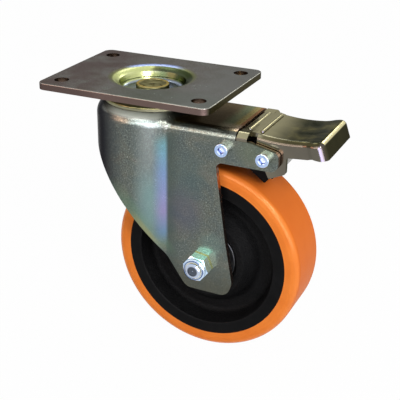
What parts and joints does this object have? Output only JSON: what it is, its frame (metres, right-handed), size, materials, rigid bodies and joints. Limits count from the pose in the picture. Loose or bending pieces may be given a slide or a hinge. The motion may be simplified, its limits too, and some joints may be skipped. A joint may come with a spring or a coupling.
{
  "type": "swivel castor",
  "caption": "Swivel castor with a flat fixing plate, a ball race head, a pressed steel fork, an orange tyred wheel and a foot brake on the trailing side.",
  "frame": {"origin": "centre of the fixing plate's top face and of its four holes, on the swivel axis", "axes": "+Z out of the plate's top face, +X toward the brake pedal and the wheel's trail at rest, +Y along the wheel's axle"},
  "size_m": [0.2161, 0.105, 0.2051],
  "materials": {
    "yellow_zinc": "iridescent yellow chromate on zinc plated pressed steel",
    "pedal_zinc": "glossy yellow chromate on zinc plated steel",
    "blue_zinc": "clear blue chromate on zinc plated fasteners",
    "king_pin_steel": "turned, yellow chromate",
    "race_steel": "turned",
    "ball_steel": "ground and polished",
    "black_iron": "satin black paint on cast iron",
    "orange_tread": "cast polyurethane, satin",
    "black_steel": "black",
    "black_rubber": "matte",
    "seal_rubber": "matte",
    "nylon": "natural nylon"
  },
  "bodies": {
    "plate": {"top_plate": "yellow_zinc", "king_pin": "king_pin_steel", "upper_race": "yellow_zinc", "lower_race": "race_steel"},
    "swivel": {"fork": "yellow_zinc", "upper_balls": "ball_steel", "lower_balls": "ball_steel", "axle_bolt": "blue_zinc", "axle_nut": "blue_zinc", "nut_insert": "nylon", "axle_tube": "race_steel", "side_bushes": "blue_zinc", "hub_spacer": "race_steel", "bearing_inner_rings": "ball_steel", "pivot_sleeves": "race_steel", "brake_screws": "blue_zinc", "brake_nuts": "blue_zinc"},
    "wheel": {"wheel_rim": "black_iron", "tyre": "orange_tread", "bearing_outer_rings": "ball_steel", "bearing_balls": "ball_steel", "bearing_seals": "seal_rubber"},
    "pedal": {"brake_pedal": "pedal_zinc", "cam_bar": "race_steel"},
    "brake": {"brake_arm": "black_steel", "brake_shoe": "black_rubber"}
  },
  "joints": [
    {"name": "fork_swivel", "type": "hinge", "parent": "plate", "child": "swivel", "pos_m": [0, 0, 0], "axis": [0, 0, 1], "continuous": true},
    {"name": "wheel_spin", "type": "hinge", "parent": "swivel", "child": "wheel", "pos_m": [0.0554, 0, -0.1301], "axis": [0, 1, 0], "continuous": true},
    {"name": "pedal_press", "type": "hinge", "parent": "swivel", "child": "pedal", "pos_m": [0.1035, 0, -0.0363], "axis": [0, 1, 0], "range_deg": [0, 20]},
    {"name": "brake_swing", "type": "hinge", "parent": "swivel", "child": "brake", "pos_m": [0.0727, 0, -0.034], "axis": [0, 1, 0], "range_deg": [0, 6]}
  ],
  "couplings": [
    {"joint": "brake_swing", "follows": "pedal_press", "ratio": 0.3}
  ]
}
